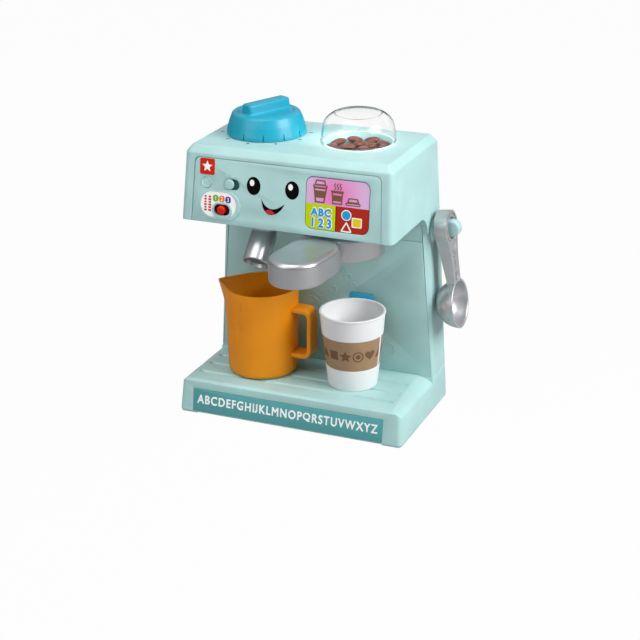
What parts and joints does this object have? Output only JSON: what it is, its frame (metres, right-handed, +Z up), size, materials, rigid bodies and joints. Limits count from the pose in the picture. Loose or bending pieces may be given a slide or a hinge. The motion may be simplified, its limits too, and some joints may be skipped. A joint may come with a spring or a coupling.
{
  "type": "toy coffee maker",
  "caption": "Play coffee machine with a turning dial, a bean dome, a swinging portafilter and spout, slide switches, push buttons, a jug, a cup and a hanging scoop.",
  "frame": {"origin": "middle of the footprint, on the standing surface", "axes": "+Z up, -Y out of the front, +X to the right when looking at the front"},
  "size_m": [0.2433, 0.1963, 0.2885],
  "materials": {
    "body_plastic": "satin",
    "inner_plastic": "matte",
    "teal_strip": "satin",
    "red_label": "satin",
    "white_label": "satin",
    "picture_lens": "gloss",
    "dial_plastic": "gloss",
    "button_plastic": "gloss",
    "slider_plastic": "gloss",
    "silver_plastic": "satin silver",
    "clear_plastic": "clear",
    "bean_plastic": "satin",
    "jug_plastic": "satin",
    "cup_plastic": "satin",
    "sleeve_card": "matte",
    "rubber": "matte",
    "steel": "zinc plated",
    "circuit_board": "solder mask",
    "black_plastic": "matte",
    "cell_wrap": "gloss",
    "led_resin": "clear"
  },
  "bodies": {
    "machine": {"body_shell": "body_plastic", "front_panel": "body_plastic", "head_underside": "body_plastic", "column_front": "body_plastic", "rear_cover": "body_plastic", "base_shell": "body_plastic", "base_plate": "body_plastic", "rubber_feet": "rubber", "housing_screws": "steel", "letter_strip": "teal_strip", "corner_tag": "red_label", "screen_lens": "picture_lens", "main_board": "circuit_board", "display_leds": "led_resin", "switch_bodies": "black_plastic", "stage_label": "white_label", "round_button_spring": "steel", "drive_belt": "rubber", "bean_well": "body_plastic", "dome": "clear_plastic", "cup_button_spring": "steel", "button_board": "circuit_board", "board_screws": "steel", "speaker": "black_plastic", "battery_box": "inner_plastic", "batteries": "cell_wrap", "battery_contacts": "steel", "battery_door": "body_plastic", "battery_door_screw": "steel", "hook": "body_plastic"},
    "dial_knob": {"dial": "dial_plastic", "dial_pulley": "inner_plastic", "dial_screw": "steel"},
    "bean_turntable": {"bean_table": "silver_plastic", "table_pulley": "inner_plastic", "table_screw": "steel", "coffee_beans": "bean_plastic"},
    "stage_slide_knob": {"stage_slider": "slider_plastic"},
    "power_slide_knob": {"power_switch": "body_plastic"},
    "round_push_button": {"round_button": "body_plastic"},
    "steam_spout": {"spout_arm": "silver_plastic", "spout_nozzle": "silver_plastic", "spout_retainer": "steel"},
    "portafilter_handle": {"portafilter": "silver_plastic", "portafilter_retainer": "steel"},
    "cup_push_button": {"cup_button": "button_plastic"},
    "hanging_scoop": {"scoop": "silver_plastic"},
    "pouring_jug": {"jug": "jug_plastic"},
    "play_cup": {"cup": "cup_plastic", "cup_sleeve": "sleeve_card"}
  },
  "joints": [
    {"name": "dial_turn", "type": "hinge", "parent": "machine", "child": "dial_knob", "pos_m": [-0.047, 0.009, 0.25], "axis": [0, 0, 1], "continuous": true},
    {"name": "bean_turn", "type": "hinge", "parent": "machine", "child": "bean_turntable", "pos_m": [0.0425, 0.009, 0.25], "axis": [0, 0, 1], "continuous": true},
    {"name": "stage_slide", "type": "slide", "parent": "machine", "child": "stage_slide_knob", "axis": [1, 0, 0], "range_m": [-0.0034, 0.0034]},
    {"name": "power_slide", "type": "slide", "parent": "machine", "child": "power_slide_knob", "axis": [1, 0, 0], "range_m": [0, 0.005]},
    {"name": "round_button_push", "type": "slide", "parent": "machine", "child": "round_push_button", "axis": [0, 0.9915, -0.1301], "range_m": [0, 0.0015], "stiffness_N_per_m": 400, "springref_m": -0.0005, "deforming": ["round_button_spring"]},
    {"name": "spout_swivel", "type": "hinge", "parent": "machine", "child": "steam_spout", "pos_m": [-0.033, -0.031, 0.1765], "axis": [0, 0, 1], "range_deg": [-30, 30]},
    {"name": "portafilter_swing", "type": "hinge", "parent": "machine", "child": "portafilter_handle", "pos_m": [0.04, -0.019, 0.1785], "axis": [0, 0, 1], "range_deg": [-20, 32]},
    {"name": "cup_button_push", "type": "slide", "parent": "machine", "child": "cup_push_button", "axis": [0, 1, 0], "range_m": [0, 0.004], "stiffness_N_per_m": 300, "springref_m": -0.001, "deforming": ["cup_button_spring"]},
    {"name": "scoop_swing", "type": "hinge", "parent": "machine", "child": "hanging_scoop", "pos_m": [0.10256, 0.044, 0.1756], "axis": [0.9988, 0, 0.048], "range_deg": [-45, 45]},
    {"name": "jug_pull", "type": "slide", "parent": "machine", "child": "pouring_jug", "axis": [0, -0.9661, 0.2583], "range_m": [0, 0.13]},
    {"name": "cup_pull", "type": "slide", "parent": "machine", "child": "play_cup", "axis": [0, -0.9661, 0.2583], "range_m": [0, 0.13]}
  ],
  "couplings": [
    {"joint": "bean_turn", "follows": "dial_turn", "ratio": 0.75}
  ]
}
